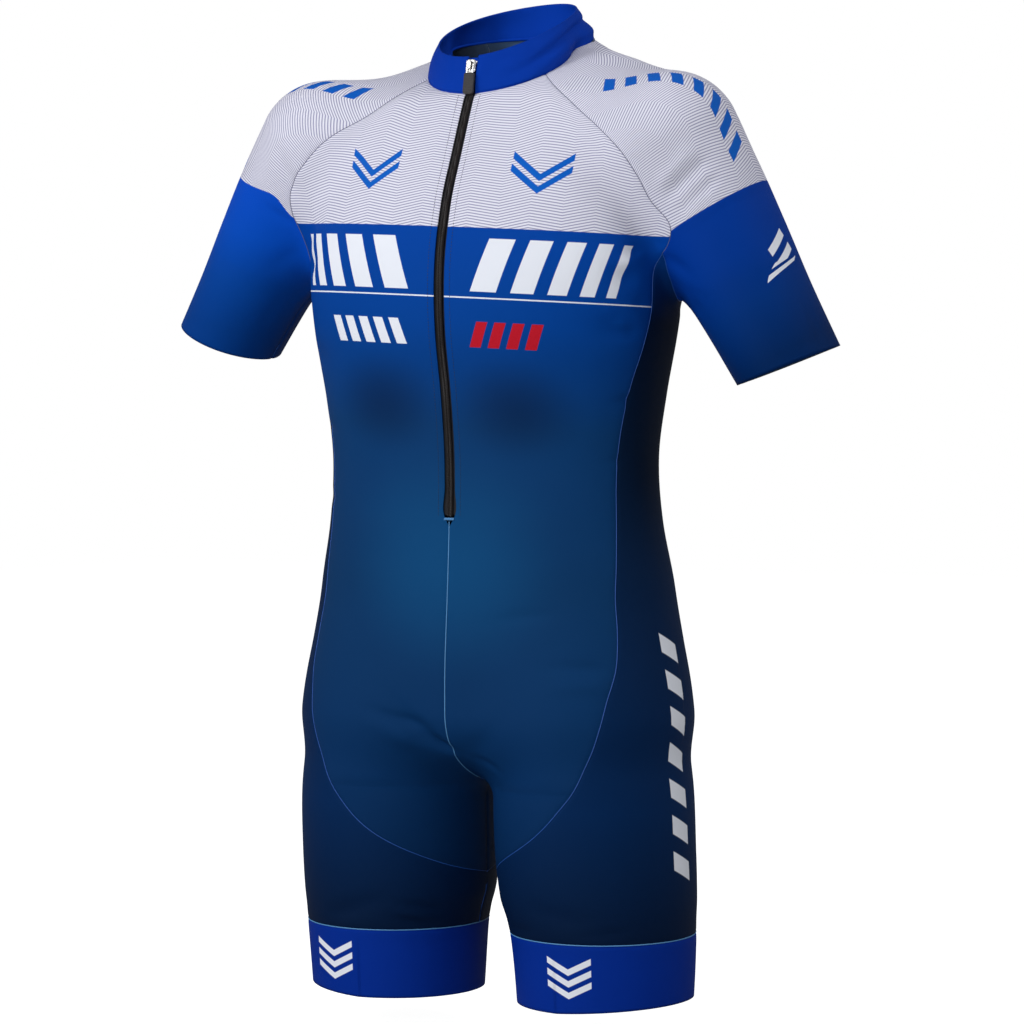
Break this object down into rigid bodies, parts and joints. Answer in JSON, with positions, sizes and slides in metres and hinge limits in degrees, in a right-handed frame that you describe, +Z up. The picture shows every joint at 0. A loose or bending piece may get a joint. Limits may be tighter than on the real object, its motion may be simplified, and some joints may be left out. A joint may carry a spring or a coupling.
{
  "type": "speed skating suit",
  "caption": "Short-sleeved, short-legged one-piece race suit with raglan sleeves, a stand collar, a half-length front zip and elastic leg cuffs, filled out as if worn.",
  "frame": {"origin": "middle of the neck seam ring, between the shoulders, where the worn suit hangs from its wearer", "axes": "+Z up through the neck, -Y the way the front zip faces, +X the garment's left side"},
  "size_m": [0.7036, 0.2482, 0.9663],
  "materials": {
    "front_left": "smooth stretch knit, printed white above and blue fading to navy below",
    "front_right": "smooth stretch knit, printed white above and blue fading to navy below",
    "back_left": "smooth stretch knit, printed blue fading to navy",
    "back_right": "smooth stretch knit, printed blue fading to navy",
    "side_leg_left": "smooth stretch knit, printed navy",
    "side_leg_right": "smooth stretch knit, printed navy",
    "sleeve_left": "smooth stretch knit, printed white above and blue below",
    "sleeve_right": "smooth stretch knit, printed white above and blue below",
    "leg_cuff_left": "matt elastic knit, blue",
    "leg_cuff_right": "matt elastic knit, blue",
    "collar": "matt elastic knit, blue",
    "zip_tape_left": "woven black tape",
    "zip_tape_right": "woven black tape",
    "zip_coil": "black coil",
    "zip_slider": "polished",
    "zip_pull": "polished",
    "zip_pull_grip": "matt black"
  },
  "bodies": {
    "suit": {"front_left": "front_left", "front_right": "front_right", "back_left": "back_left", "back_right": "back_right", "side_leg_left": "side_leg_left", "side_leg_right": "side_leg_right", "sleeve_left": "sleeve_left", "sleeve_right": "sleeve_right", "leg_cuff_left": "leg_cuff_left", "leg_cuff_right": "leg_cuff_right", "collar": "collar", "zip_tape_left": "zip_tape_left", "zip_tape_right": "zip_tape_right", "zip_coil": "zip_coil", "zip_slider": "zip_slider"},
    "pull": {"zip_pull": "zip_pull", "zip_pull_grip": "zip_pull_grip"}
  },
  "joints": [
    {"name": "pull_swing", "type": "hinge", "parent": "suit", "child": "pull", "pos_m": [0, -0.09602, -0.00572], "axis": [-1, 0, 0], "range_deg": [0, 150]}
  ]
}
